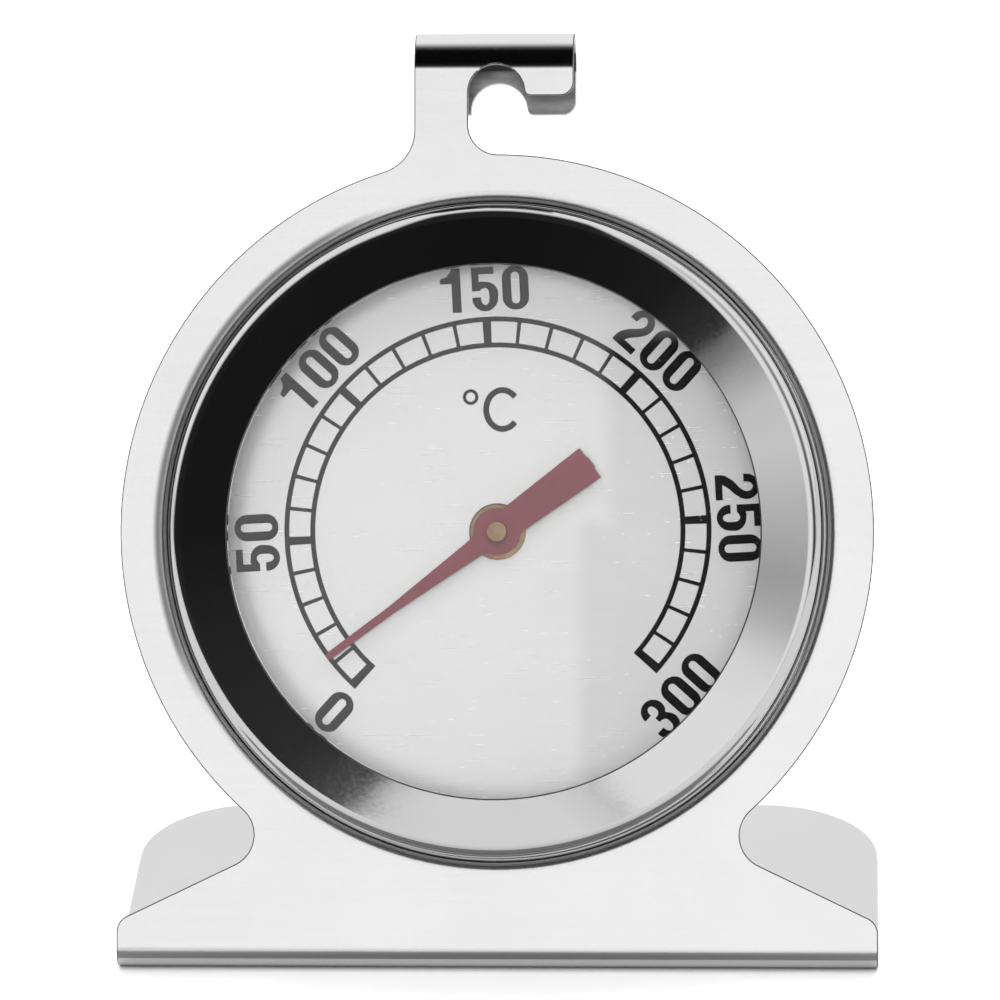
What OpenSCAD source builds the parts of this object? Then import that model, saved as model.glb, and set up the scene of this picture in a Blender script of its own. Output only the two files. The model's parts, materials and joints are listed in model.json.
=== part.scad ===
// Bimetal oven thermometer: a round dial capsule in a folded sheet-steel stand that
// stands on a shelf or hangs from a rack wire by its folded hook.
// Millimetres. +Z is up, the dial faces -Y and leans back, the foot's underside is z = 0.
// "Head frame": origin at the centre of the head plate's front face, X to the right,
// Y up the plate, Z out of the dial towards the reader.

/* [Stand] */
// Thickness of the stand's sheet steel
sheet_t = 0.6; // [0.5:0.05:0.8]
// Angle that the dial leans back from vertical
lean = 24; // [15:1:30]
// Radius of the round head plate
head_r = 30.2; // [29.5:0.1:32]
// Width of the base and foot
base_w = 61; // [58:0.2:66]
// Height of the head's centre above the fold's centre, measured up the plate
head_rise = 33.2; // [32:0.05:35]
// Outer radius of the fold between plate and foot
fold_r = 1.7; // [1.2:0.1:2.5]
// Depth of the foot from the front of the fold to its rear edge
foot_depth = 29.5; // [28:0.5:36]
// Radius of the foot's rear corners
foot_corner_r = 9.5; // [4:0.5:14]
// Height of the base's straight side above the fold's centre
base_side_h = 1.97; // [1.6:0.05:2.4]
// Slope of the base's shoulders
shoulder_slope = 25.6; // [22:0.2:28]
// Radius of the waist between head and base
waist_r = 2.64; // [2:0.1:3.2]
// Radius of the base's shoulder corners
base_corner_r = 1.4; // [0.8:0.1:1.6]
// Radius of the rolled edge around the capsule's hole
collar_roll = 0.7; // [0.7:0.05:1.4]
// Length of the collar behind the plate's front face
collar_l = 3.6; // [3:0.1:4]

/* [Hook] */
// Height of the hook's top above the head's centre, measured up the plate
hook_top = 40.05; // [39:0.05:42]
// Left edge of the neck and hook
hook_left = -6.57; // [-7.5:0.05:-6]
// Right edge of the hook
hook_right = 6.21; // [5.6:0.05:7]
// Outer radius of the fold over the top, which leaves the gap for a rack wire
hook_fold_r = 3.0; // [2.8:0.1:3.4]
// Radius of the round notch for a wire at right angles to the dial
notch_r = 2.25; // [2:0.05:2.5]
// Height of the notch's centre in the front leaf
notch_h = 35.17; // [34.8:0.05:36]
// Height of the front leaf's lower edge
tongue_h = 34.9; // [34.5:0.05:35.6]
// How much lower the back leaf and its notch reach
leaf_drop = 1.27; // [1:0.01:2]
// Radius between the neck's left side and the head
neck_left_r = 3.5; // [2.5:0.1:4.5]
// Radius between the neck's right side and the head
neck_right_r = 2.4; // [1.8:0.1:3]

/* [Capsule] */
// Outer radius of the bezel shell
capsule_r = 26; // [25.8:0.05:26.5]
// Thickness of the bezel shell
bezel_t = 0.5; // [0.4:0.05:0.6]
// Radius of the opening inside the bezel's lip
opening_r = 21.2; // [21:0.05:22]
// Slope of the bezel's face, rising towards the lip
bezel_slope = 12; // [8:1:15]
// How far the bezel's side stands out of the plate before its shoulder
bezel_rise = 2.5; // [1.6:0.1:3]
// Outer radius of the bezel's shoulder
bezel_shoulder_r = 1.36; // [1:0.02:1.6]
// Radius of the rounding on the lip's edge
lip_r = 0.12; // [0.1:0.01:0.2]
// Thickness of the glass
lens_t = 1.6; // [1.4:0.1:1.8]
// Depth of the dial's face behind the plate's front face
dial_depth = 2.8; // [2.6:0.1:3]
// Thickness of the dial
dial_t = 0.4; // [0.3:0.05:0.5]
// Depth of the capsule's back behind the plate's front face
capsule_depth = 10.6; // [10.4:0.1:12]
// Thickness of the rear cover
cover_t = 0.4; // [0.3:0.05:0.5]
// Depth of the front edge of the cover's skirt behind the plate's front face
skirt_depth = 0.3; // [0.2:0.1:1]
// Number of vent holes in the rear cover
vent_count = 6; // [4:1:8]
// Radius of each vent hole
vent_r = 1.3; // [1:0.1:2]

/* [Pointer] */
// Direction of the pointer at rest, anticlockwise from the reader's right
pointer_angle = 216.5; // [200:0.5:228]
// Length of the pointer from the hub to the tip
pointer_l = 17.0; // [16:0.1:17.4]
// Length of the pointer's tail
tail_l = 9.3; // [8:0.1:10]
// Thickness of the pointer
pointer_t = 0.4; // [0.3:0.05:0.5]
// Radius of the pointer's hub disc
hub_r = 1.87; // [1.7:0.01:2]

/* [Movement] */
// Radius of the spindle
spindle_r = 0.6; // [0.5:0.05:0.65]
// Radius of the spindle's riveted front end
rivet_end_r = 0.78; // [0.72:0.02:0.9]
// Radial clearance of the spindle in its bushes
bush_gap = 0.05; // [0.02:0.01:0.08]
// Radius of the front bush's flange
flange_r = 2.27; // [2.1:0.01:2.6]
// Width of the bimetal strip
strip_w = 2.0; // [1.6:0.1:2.2]
// Thickness of the bimetal strip
strip_t = 0.35; // [0.3:0.05:0.4]
// Number of turns in the bimetal coil
coil_turns = 6; // [5:1:7]
// Radius of the coil's outer end
coil_r = 9.0; // [8.6:0.1:9.2]

/* [Hidden] */
$fn = 96;
// Gap between neighbours that only touch
touch = 0.02;
eps = 0.01;
// Bends are this much thicker than the sheet on each side, and overlap it by lap
skin = 0.004;
lap = 0.06;
// The plate's hole starts this far outside the collar's roll, which fills it with a flat rim
hole_margin = 0.25;

// Levels in the head frame, from the lens back to the rear cover
lip_end_w = 2.35;
lens_front = 2.2;
lens_back = lens_front - lens_t;
dial_front = -dial_depth;
dial_back = dial_front - dial_t;
plate_t = 0.8;
plate_back = dial_back - plate_t;
shell_clearance = 0.75;
shell_end = -(capsule_depth - cover_t - shell_clearance);
stack_gap = 0.25;
stack_r = capsule_r - bezel_t - stack_gap;
cover_r = capsule_r + touch + cover_t;
cover_corner_r = 1.2;

// Levels of the movement
flange_front = dial_front + 0.5;
bush_body_r = 1.5;
washer_t = 0.5;
bush_back = plate_back - washer_t - 0.1;
pointer_front = -1.5;
pointer_back = pointer_front - pointer_t;
pin_front = -0.9;
coil_front = plate_back - 1.4;
coil_back = coil_front - strip_w;
collet_r = 1.6;
collet_front = coil_front + 0.2;
collet_back = coil_back - 0.2;
bridge_t = 0.6;
bridge_front = collet_back - 0.65;
bridge_back = bridge_front - bridge_t;
bridge_w = 7;
bridge_leg_x = 12;
bridge_foot_x = 17;
rivet_x = 14.8;
rivet_shank_r = 0.8;
rear_bush_r = 1.1;
groove_r = spindle_r - 0.15;
clip_front = bridge_back - 0.35;
clip_back = clip_front - 0.25;
spindle_back = clip_back - 0.15;

// Fold at the front of the base, with the frame centred on the whole depth
lean_s = sin(lean);
lean_c = cos(lean);
head_from_fold_y = head_rise * lean_s - fold_r * lean_c;
back_of_foot = foot_depth - fold_r;
back_of_cover = head_from_fold_y + (cover_r - cover_corner_r) * lean_s
    + (capsule_depth - cover_corner_r) * lean_c + cover_corner_r;
back_of_hook = head_from_fold_y + (hook_top - hook_fold_r) * lean_s
    + hook_fold_r * lean_c + hook_fold_r;
fold_y = (fold_r - max(back_of_foot, back_of_cover, back_of_hook)) / 2;
head_y = fold_y + head_from_fold_y;
head_z = fold_r + head_rise * lean_c + fold_r * lean_s;

// Places a child that is drawn in the head frame
module on_head() {
    translate([0, head_y, head_z]) rotate([90 - lean, 0, 0]) children();
}

// Section through a bend in sheet metal, between two angles
module bend_section(r_out, r_in, from, to) {
    reach = r_out * 3;
    middle = (from + to) / 2;
    intersection() {
        difference() {
            circle(r_out + skin);
            circle(r_in - skin);
        }
        polygon([
            [0, 0],
            reach * [cos(from), sin(from)],
            reach * [cos(middle), sin(middle)],
            reach * [cos(to), sin(to)]
        ]);
    }
}

// Ring with a rectangular section, drawn in the head frame
module flat_ring(r_out, r_in, back, front) {
    translate([0, 0, back]) difference() {
        cylinder(r = r_out, h = front - back);
        translate([0, 0, -1]) cylinder(r = r_in, h = front - back + 2);
    }
}

// ---- Stand ----

// Fills the corner between a straight edge and the head, leaving a concave arc
module head_fillet(centre, r, on_line, inner) {
    on_head_edge = centre * head_r / (head_r + r);
    difference() {
        polygon([on_line, centre, on_head_edge, inner]);
        translate(centre) circle(r);
    }
}

// Flat plate's outline: head, waist and base, without the neck
module plate_outline() {
    half = base_w / 2;
    slope_n = [sin(shoulder_slope), cos(shoulder_slope)];
    slope_m = [cos(shoulder_slope), -sin(shoulder_slope)];
    corner = [half, base_side_h - head_rise];
    waist_n = slope_n * corner + waist_r;
    waist_m = sqrt(pow(head_r + waist_r, 2) - waist_n * waist_n);
    waist = waist_n * slope_n + waist_m * slope_m;
    on_slope = waist - waist_r * slope_n;
    cut_back = base_corner_r / tan((90 + shoulder_slope) / 2);
    circle(head_r);
    for (side = [0, 1]) mirror([side, 0]) {
        head_fillet(waist, waist_r, on_slope, [0, 0]);
        polygon([
            [0, -head_rise - lap],
            [half, -head_rise - lap],
            corner - [0, cut_back],
            corner - cut_back * slope_m,
            on_slope,
            [0, 0]
        ]);
        translate([half - base_corner_r, corner[1] - cut_back]) circle(base_corner_r);
    }
}

// Lower edge of one hook leaf: the notch and all that is open beside and below it
module leaf_cut(drop, left_too) {
    notch_v = notch_h - drop;
    edge_v = tongue_h - drop;
    corner_r = 0.5;
    end_r = 1.1;
    below = 8;
    beside = 2;
    translate([0, notch_v]) circle(notch_r);
    translate([-notch_r, notch_v - below]) square([2 * notch_r, below]);
    translate([notch_r - eps, edge_v - below]) square([hook_right + beside - notch_r, below]);
    difference() {
        translate([notch_r - eps, edge_v - eps]) square([corner_r + eps, corner_r + eps]);
        translate([notch_r + corner_r, edge_v + corner_r]) circle(corner_r);
    }
    difference() {
        translate([hook_right - end_r, edge_v - eps]) square([end_r + beside, end_r + eps]);
        translate([hook_right - end_r, edge_v + end_r]) circle(end_r);
    }
    if (left_too) {
        translate([hook_left - beside, edge_v - below])
            square([-notch_r - hook_left + beside + eps, below]);
        difference() {
            translate([hook_left - beside, edge_v - eps]) square([end_r + beside, end_r + eps]);
            translate([hook_left + end_r, edge_v + end_r]) circle(end_r);
        }
    }
}

// Neck and front leaf, flat in the plate
module neck_outline() {
    fold_v = hook_top - hook_fold_r;
    left_c = [hook_left - neck_left_r,
        sqrt(pow(head_r + neck_left_r, 2) - pow(hook_left - neck_left_r, 2))];
    right_c = [neck_right_r - notch_r,
        sqrt(pow(head_r + neck_right_r, 2) - pow(neck_right_r - notch_r, 2))];
    root_v = head_r - 3;
    translate([hook_left, root_v]) square([-notch_r - hook_left, fold_v - root_v + lap]);
    head_fillet(left_c, neck_left_r, [hook_left, left_c[1]], [hook_left, root_v]);
    head_fillet(right_c, neck_right_r, [-notch_r, right_c[1]], [-notch_r, root_v]);
    difference() {
        translate([-notch_r - eps, tongue_h])
            square([hook_right + notch_r + eps, fold_v - tongue_h + lap]);
        leaf_cut(0, false);
    }
}

// Fold over the top of the hook and the back leaf behind it
module hook_fold() {
    fold_v = hook_top - hook_fold_r;
    back_w = -2 * hook_fold_r;
    difference() {
        translate([hook_left, fold_v, -hook_fold_r]) rotate([90, 0, 90])
            linear_extrude(hook_right - hook_left)
                bend_section(hook_fold_r, hook_fold_r - sheet_t, -90, 90);
        translate([0, 0, -hook_fold_r]) linear_extrude(hook_fold_r + 1)
            translate([0, notch_h]) circle(notch_r);
    }
    translate([0, 0, back_w]) linear_extrude(sheet_t) difference() {
        translate([hook_left, tongue_h - leaf_drop])
            square([hook_right - hook_left, fold_v - tongue_h + leaf_drop + lap]);
        leaf_cut(leaf_drop, true);
    }
}

// Collar rolled back around the capsule's hole
module collar() {
    bore_r = cover_r + touch;
    roll_x = bore_r + collar_roll;
    rim_w = 2 * hole_margin;
    rotate_extrude() {
        translate([roll_x, -collar_roll]) bend_section(collar_roll, collar_roll - sheet_t, 90, 180);
        translate([bore_r, -collar_l]) square([sheet_t, collar_l - collar_roll + lap]);
        translate([roll_x - lap, -sheet_t]) square([rim_w, sheet_t]);
    }
}

module stand() {
    hole_r = cover_r + touch + collar_roll + hole_margin;
    foot_x = base_w / 2 - foot_corner_r;
    foot_y = fold_y + foot_depth - fold_r;
    color("gainsboro") {
        on_head() {
            translate([0, 0, -sheet_t]) linear_extrude(sheet_t) difference() {
                union() {
                    plate_outline();
                    neck_outline();
                }
                circle(hole_r);
            }
            collar();
            hook_fold();
        }
        translate([-base_w / 2, fold_y, fold_r]) rotate([90, 0, 90])
            linear_extrude(base_w) bend_section(fold_r, fold_r - sheet_t, 180 - lean, 270);
        linear_extrude(sheet_t) {
            translate([-base_w / 2, fold_y - lap])
                square([base_w, foot_y - foot_corner_r - fold_y + lap]);
            translate([-foot_x, foot_y - foot_corner_r - eps])
                square([2 * foot_x, foot_corner_r + eps]);
            for (side = [-1, 1])
                translate([side * foot_x, foot_y - foot_corner_r]) circle(foot_corner_r);
        }
    }
}

// ---- Capsule ----

module bezel_shell() {
    slope_n = [sin(bezel_slope), cos(bezel_slope)];
    slope_m = [cos(bezel_slope), -sin(bezel_slope)];
    shoulder = [capsule_r - bezel_shoulder_r, bezel_rise];
    lip_x = opening_r + lip_r;
    lip_w = bezel_rise
        + ((shoulder[0] - lip_x) * slope_n[0] + bezel_shoulder_r - lip_r) / slope_n[1];
    lip = [lip_x, lip_w];
    normal_angle = 90 - bezel_slope;
    color("silver") on_head() {
        flat_ring(capsule_r, capsule_r - bezel_t, shell_end, bezel_rise + lap);
        rotate_extrude() translate(shoulder)
            bend_section(bezel_shoulder_r, bezel_shoulder_r - bezel_t, 0, normal_angle);
        rotate_extrude() polygon([
            shoulder + bezel_shoulder_r * slope_n + lap * slope_m,
            shoulder + (bezel_shoulder_r - bezel_t) * slope_n + lap * slope_m,
            lip + (lip_r - bezel_t) * slope_n,
            lip + lip_r * slope_n
        ]);
        rotate_extrude() translate(lip) circle(lip_r + skin);
        flat_ring(opening_r + bezel_t, opening_r, lip_end_w, lip_w);
    }
}

module rear_cover() {
    inner_r = cover_r - cover_t;
    vent_ring_r = 17;
    color("silver") on_head() difference() {
        rotate_extrude() {
            translate([inner_r, cover_corner_r - capsule_depth - lap])
                square([cover_t, capsule_depth - skirt_depth - cover_corner_r + lap]);
            translate([cover_r - cover_corner_r, cover_corner_r - capsule_depth])
                bend_section(cover_corner_r, cover_corner_r - cover_t, 270, 360);
            translate([0, -capsule_depth]) square([cover_r - cover_corner_r + lap, cover_t]);
        }
        for (k = [0 : vent_count - 1]) rotate(k * 360 / vent_count)
            translate([vent_ring_r, 0, -capsule_depth - 1]) cylinder(r = vent_r, h = cover_t + 2);
    }
}

module lens_gasket() {
    gasket_t = 0.61;
    gasket_r_in = 22.3;
    gasket_r_out = 24.9;
    color("dimgray") on_head() flat_ring(
        gasket_r_out, gasket_r_in, lens_front + touch, lens_front + touch + gasket_t
    );
}

module lens() {
    color([0.85, 0.92, 0.95, 0.3]) on_head()
        translate([0, 0, lens_back]) cylinder(r = stack_r, h = lens_t);
}

module spacer_ring() {
    spacer_w = 1.2;
    color("darkgray") on_head()
        flat_ring(stack_r, stack_r - spacer_w, dial_front + touch, lens_back - touch);
}

module dial_plate() {
    color("whitesmoke") on_head()
        flat_ring(stack_r, bush_body_r + touch, dial_back, dial_front);
}

module movement_plate() {
    color("slategray") on_head() difference() {
        flat_ring(stack_r, bush_body_r + touch, plate_back, dial_back - touch);
        for (side = [-1, 1]) translate([0, side * rivet_x, plate_back - 1])
            cylinder(r = rivet_shank_r + touch, h = plate_t + 2);
    }
}

module snap_ring() {
    wire_r = 0.5;
    gap_angle = 16;
    wall_gap = 0.1;
    wire_ring_r = capsule_r - bezel_t - wall_gap - wire_r;
    color("gray") on_head() translate([0, 0, plate_back - wire_r - touch])
        rotate(gap_angle / 2 - 90) rotate_extrude(angle = 360 - gap_angle)
            translate([wire_ring_r, 0]) circle(wire_r);
}

// ---- Bushes and pointer ----

module front_bush() {
    color("goldenrod") on_head() difference() {
        union() {
            translate([0, 0, dial_front + touch])
                cylinder(r = flange_r, h = flange_front - dial_front - touch);
            translate([0, 0, bush_back])
                cylinder(r = bush_body_r, h = flange_front - bush_back);
        }
        translate([0, 0, bush_back - 1])
            cylinder(r = spindle_r + bush_gap, h = flange_front - bush_back + 2);
    }
}

module bush_washer() {
    washer_r = 2.8;
    color("goldenrod") on_head()
        flat_ring(washer_r, bush_body_r + touch, plate_back - washer_t, plate_back - touch);
}

module pointer() {
    tip_half = 0.29;
    taper_end = 10.6;
    taper_half = 0.32;
    arm_half = 0.87;
    tail_half = 1.15;
    tail_end_half = 1.45;
    nib_half = 0.5;
    nib_h = 0.12;
    color("firebrick") on_head() rotate(pointer_angle)
        translate([0, 0, pointer_back]) linear_extrude(pointer_t) difference() {
            union() {
                circle(hub_r);
                polygon([
                    [pointer_l, -tip_half], [pointer_l, tip_half], [taper_end, taper_half],
                    [0, arm_half], [0, tail_half], [-tail_l, tail_end_half],
                    [-tail_l, nib_half], [-tail_l - nib_h, nib_half],
                    [-tail_l - nib_h, -nib_half], [-tail_l, -nib_half],
                    [-tail_l, -tail_end_half], [0, -tail_half], [0, -arm_half],
                    [taper_end, -taper_half]
                ]);
            }
            circle(rivet_end_r + touch);
        }
}

module pointer_collet() {
    collar_r = 1.3;
    running_gap = 0.06;
    color("goldenrod") on_head()
        flat_ring(collar_r, spindle_r + touch, flange_front + running_gap, pointer_back - touch);
}

module spindle() {
    color("gold") on_head() difference() {
        union() {
            translate([0, 0, spindle_back]) cylinder(r = spindle_r, h = pin_front - spindle_back);
            translate([0, 0, pointer_back]) cylinder(r = rivet_end_r, h = pin_front - pointer_back);
        }
        flat_ring(spindle_r + 1, groove_r, clip_back - touch, clip_front + touch);
    }
}

module thrust_washer() {
    washer_r = 1.4;
    running_gap = 0.08;
    color("goldenrod") on_head()
        flat_ring(washer_r, spindle_r + touch, collet_front + touch, bush_back - running_gap);
}

// ---- Bimetal movement ----

// Points of an Archimedean spiral at a distance off its middle line
function spiral_point(turn_angle, off) =
    let (r = collet_r + strip_t / 2 + touch
        + (coil_r - collet_r) * turn_angle / (coil_turns * 360) + off)
    r * [cos(turn_angle), sin(turn_angle)];

module coil_collet() {
    color("goldenrod") on_head() flat_ring(collet_r, spindle_r + touch, collet_back, collet_front);
}

module bimetal_coil() {
    step = 15;
    last = coil_turns * 360;
    inner_edge = [for (a = [0 : step : last]) spiral_point(a, -strip_t / 2)];
    outer_edge = [for (a = [last : -step : 0]) spiral_point(a, strip_t / 2)];
    color("peru") on_head() translate([0, 0, coil_back]) linear_extrude(strip_w)
        polygon(concat(inner_edge, outer_edge));
}

module anchor_post() {
    post_r = 0.8;
    post_x = coil_r + strip_t + touch * 2 + post_r;
    color("gray") on_head() translate([post_x, 0, coil_back])
        cylinder(r = post_r, h = plate_back - coil_back - touch);
}

// Bent strip across the back of the coil, in the plane of the head frame's Y and Z
module movement_bridge() {
    bend = 0.8;
    feet = plate_back - touch;
    color("lightslategray") on_head() difference() {
        translate([-bridge_w / 2, 0, 0]) rotate([90, 0, 90]) linear_extrude(bridge_w)
            for (side = [0, 1]) mirror([side, 0]) {
                translate([-eps, bridge_back]) square([bridge_leg_x - bend + eps + lap, bridge_t]);
                translate([bridge_leg_x - bend, bridge_back + bend])
                    bend_section(bend, bend - bridge_t, 270, 360);
                translate([bridge_leg_x - bridge_t, bridge_back + bend - lap])
                    square([bridge_t, feet - bridge_back - 2 * bend + 2 * lap]);
                translate([bridge_leg_x + bend - bridge_t, feet - bend])
                    bend_section(bend, bend - bridge_t, 90, 180);
                translate([bridge_leg_x + bend - bridge_t - lap, feet - bridge_t])
                    square([bridge_foot_x - bridge_leg_x - bend + bridge_t + lap, bridge_t]);
            }
        translate([0, 0, bridge_back - 1]) cylinder(r = rear_bush_r + touch, h = bridge_t + 2);
        for (side = [-1, 1]) translate([0, side * rivet_x, feet - bridge_t - 1])
            cylinder(r = rivet_shank_r + touch, h = bridge_t + 2);
    }
}

module bridge_rivets() {
    head_h = 0.5;
    head_r_front = 1.4;
    head_r_back = 1.0;
    shank_front = dial_back - 2 * touch;
    shank_back = plate_back - bridge_t - 2 * touch;
    color("gray") on_head() for (side = [-1, 1]) translate([0, side * rivet_x, 0]) {
        translate([0, 0, shank_back]) cylinder(r = rivet_shank_r, h = shank_front - shank_back);
        translate([0, 0, shank_back - head_h]) cylinder(r1 = head_r_back, r2 = head_r_front, h = head_h);
    }
}

module rear_bush() {
    flange_t = 0.35;
    rear_flange_r = 1.9;
    body_back = bridge_back - 0.1;
    flange_end = bridge_front + touch + flange_t;
    color("goldenrod") on_head() difference() {
        union() {
            translate([0, 0, bridge_front + touch]) cylinder(r = rear_flange_r, h = flange_t);
            translate([0, 0, body_back]) cylinder(r = rear_bush_r, h = flange_end - body_back);
        }
        translate([0, 0, body_back - 1])
            cylinder(r = spindle_r + bush_gap, h = flange_end - body_back + 2);
    }
}

module retaining_clip() {
    clip_r = 1.5;
    mouth = 0.9;
    color("dimgray") on_head() difference() {
        flat_ring(clip_r, groove_r + touch, clip_back, clip_front);
        translate([-mouth / 2, 0, clip_back - 1]) cube([mouth, 2 * clip_r, 3]);
    }
}

stand();
bezel_shell();
rear_cover();
lens_gasket();
lens();
spacer_ring();
dial_plate();
movement_plate();
snap_ring();
front_bush();
bush_washer();
pointer();
pointer_collet();
spindle();
thrust_washer();
coil_collet();
bimetal_coil();
anchor_post();
movement_bridge();
bridge_rivets();
rear_bush();
retaining_clip();
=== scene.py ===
import json
from math import asin, atan2, cos, degrees, pi, radians, sin, tan

import bmesh
import bpy
from mathutils import Matrix, Vector


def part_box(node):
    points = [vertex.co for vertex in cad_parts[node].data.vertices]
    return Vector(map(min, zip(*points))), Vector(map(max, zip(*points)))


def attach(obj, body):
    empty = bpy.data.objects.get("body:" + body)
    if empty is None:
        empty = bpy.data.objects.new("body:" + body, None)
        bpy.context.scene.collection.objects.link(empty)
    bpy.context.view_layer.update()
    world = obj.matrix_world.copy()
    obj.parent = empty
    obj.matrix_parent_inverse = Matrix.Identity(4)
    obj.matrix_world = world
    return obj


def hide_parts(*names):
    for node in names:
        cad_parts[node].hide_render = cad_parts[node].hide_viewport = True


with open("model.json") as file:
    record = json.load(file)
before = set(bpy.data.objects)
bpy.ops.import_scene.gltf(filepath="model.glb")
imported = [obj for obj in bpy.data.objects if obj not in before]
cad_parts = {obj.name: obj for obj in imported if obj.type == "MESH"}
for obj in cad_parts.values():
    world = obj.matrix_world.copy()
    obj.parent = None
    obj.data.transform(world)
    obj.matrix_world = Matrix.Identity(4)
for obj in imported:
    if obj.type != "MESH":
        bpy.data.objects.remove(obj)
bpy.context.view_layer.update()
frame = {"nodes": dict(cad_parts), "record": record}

MM = 0.001

# ---- Head frame: u to the reader's right, v up the dial, w out of the dial ----

spin = frame["record"]["behaviour"]["joints"][0]
HEAD = Vector(spin["pos_m"])
W_AXIS = -Vector(spin["axis"]).normalized()
U_AXIS = Vector((1, 0, 0))
V_AXIS = W_AXIS.cross(U_AXIS)
LEAN = atan2(W_AXIS.z, -W_AXIS.y)


def head_point(u, v, w):
    """The world point at (u, v, w) millimetres in the head frame."""
    return HEAD + (U_AXIS * u + V_AXIS * v + W_AXIS * w) * MM


def front_of(node):
    """How far a node reaches out of the dial, in millimetres along w."""
    mesh = frame["nodes"][node].data
    return max((vert.co - HEAD).dot(W_AXIS) for vert in mesh.vertices) / MM


# ---- Camera: from above, a few degrees to the right ----

VIEW_AZIMUTH = radians(3.3)
VIEW_ELEVATION = radians(23.7)
VIEW_DISTANCE = 0.548
LENS_MM = 246.6
AIM_U = 0.31
AIM_V = 2.53


def add_camera():
    data = bpy.data.cameras.new("camera")
    data.lens = LENS_MM
    data.sensor_width = 36
    data.clip_start = 0.01
    data.clip_end = 20
    camera = bpy.data.objects.new("camera", data)
    bpy.context.scene.collection.objects.link(camera)
    away = Vector((
        sin(VIEW_AZIMUTH) * cos(VIEW_ELEVATION),
        -cos(VIEW_AZIMUTH) * cos(VIEW_ELEVATION),
        sin(VIEW_ELEVATION),
    ))
    camera.location = head_point(AIM_U, AIM_V, 0) + away * VIEW_DISTANCE
    side = V_AXIS.cross(away).normalized()
    turn = Matrix((side, away.cross(side), away)).transposed()
    camera.rotation_euler = turn.to_euler()
    bpy.context.scene.camera = camera


# ---- Node helpers ----


class Shader:
    """A short way to write a node tree."""

    def __init__(self, tree):
        self.tree = tree
        self.nodes = tree.nodes
        self.links = tree.links
        self.nodes.clear()

    def set(self, socket, value):
        if isinstance(value, bpy.types.NodeSocket):
            self.links.new(value, socket)
        else:
            socket.default_value = value

    def add(self, kind, outputs=0, settings=None, **inputs):
        """Add a node, set its inputs by name or index (as i0, i1), and give one output socket."""
        node = self.nodes.new(kind)
        for key, value in (settings or {}).items():
            setattr(node, key, value)
        for key, value in inputs.items():
            name = int(key[1:]) if key[0] == "i" and key[1:].isdigit() else key.replace("_", " ")
            self.set(node.inputs[name], value)
        return node.outputs[outputs]

    def math(self, operation, a, b=0.0, c=0.0):
        return self.add("ShaderNodeMath", settings={"operation": operation}, i0=a, i1=b, i2=c)

    def dot(self, vector, direction):
        node = self.nodes.new("ShaderNodeVectorMath")
        node.operation = "DOT_PRODUCT"
        self.set(node.inputs[0], vector)
        self.set(node.inputs[1], tuple(direction))
        return node.outputs["Value"]

    def step(self, value, low, high, start=0.0, end=1.0):
        """A smooth step from start to end as value goes from low to high."""
        node = self.nodes.new("ShaderNodeMapRange")
        node.interpolation_type = "SMOOTHSTEP"
        for index, item in enumerate((value, low, high, start, end)):
            self.set(node.inputs[index], item)
        return node.outputs["Result"]

    def span(self, value, low, high, start=0.0, end=1.0):
        """A straight ramp from start to end as value goes from low to high."""
        node = self.nodes.new("ShaderNodeMapRange")
        for index, item in enumerate((value, low, high, start, end)):
            self.set(node.inputs[index], item)
        return node.outputs["Result"]

    def blend(self, factor, a, b, mode="MIX"):
        """Mix two colours."""
        node = self.nodes.new("ShaderNodeMix")
        node.data_type = "RGBA"
        node.blend_type = mode
        self.set(node.inputs[0], factor)
        self.set(node.inputs[6], a)
        self.set(node.inputs[7], b)
        return node.outputs[2]

    def ramp(self, value, stops):
        """A colour ramp through (position, grey or colour) stops."""
        node = self.nodes.new("ShaderNodeValToRGB")
        self.set(node.inputs["Fac"], value)
        elements = node.color_ramp.elements
        while len(elements) < len(stops):
            elements.new(0.5)
        for element, (place, tone) in zip(elements, stops):
            element.position = place
            element.color = tone if isinstance(tone, tuple) else (tone, tone, tone, 1)
        return node.outputs["Color"]

    def turn_ramp(self, value, stops):
        """A ramp around a full turn, through (degrees, grey) stops."""
        return self.ramp(value, [(angle / 360, tone) for angle, tone in stops])

    def head_coordinates(self, scale=(1, 1, 1)):
        """Object coordinates turned into the head frame, as (u, v, w) in metres, then scaled."""
        place = self.add("ShaderNodeTexCoord", outputs="Object")
        turned = self.add(
            "ShaderNodeMapping",
            Vector=place,
            Rotation=(LEAN - pi / 2, 0, 0),
        )
        return self.add("ShaderNodeMapping", Vector=turned, Scale=scale)

    def head_parts(self):
        """The parts u, v and w of a point, in metres, from the head's centre."""
        place = self.add("ShaderNodeTexCoord", outputs="Object")
        return [
            self.math("SUBTRACT", self.dot(place, axis), HEAD.dot(axis)) for axis in (U_AXIS, V_AXIS, W_AXIS)
        ]

    def noise(self, vector, scale, detail=2.0, roughness=0.5, distortion=0.0):
        return self.add(
            "ShaderNodeTexNoise", outputs="Fac", Vector=vector, Scale=scale, Detail=detail,
            Roughness=roughness, Distortion=distortion,
        )

    def bump(self, height, strength, distance, normal=None):
        node = self.nodes.new("ShaderNodeBump")
        node.inputs["Strength"].default_value = strength
        node.inputs["Distance"].default_value = distance
        self.set(node.inputs["Height"], height)
        if normal is not None:
            self.set(node.inputs["Normal"], normal)
        return node.outputs["Normal"]


def new_material(name):
    """An empty node material with a Principled shader on its output."""
    material = bpy.data.materials.new(name)
    material.use_nodes = True
    shader = Shader(material.node_tree)
    surface = shader.nodes.new("ShaderNodeBsdfPrincipled")
    output = shader.nodes.new("ShaderNodeOutputMaterial")
    shader.links.new(surface.outputs[0], output.inputs["Surface"])
    return material, shader, surface.inputs


# ---- Materials ----


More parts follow.
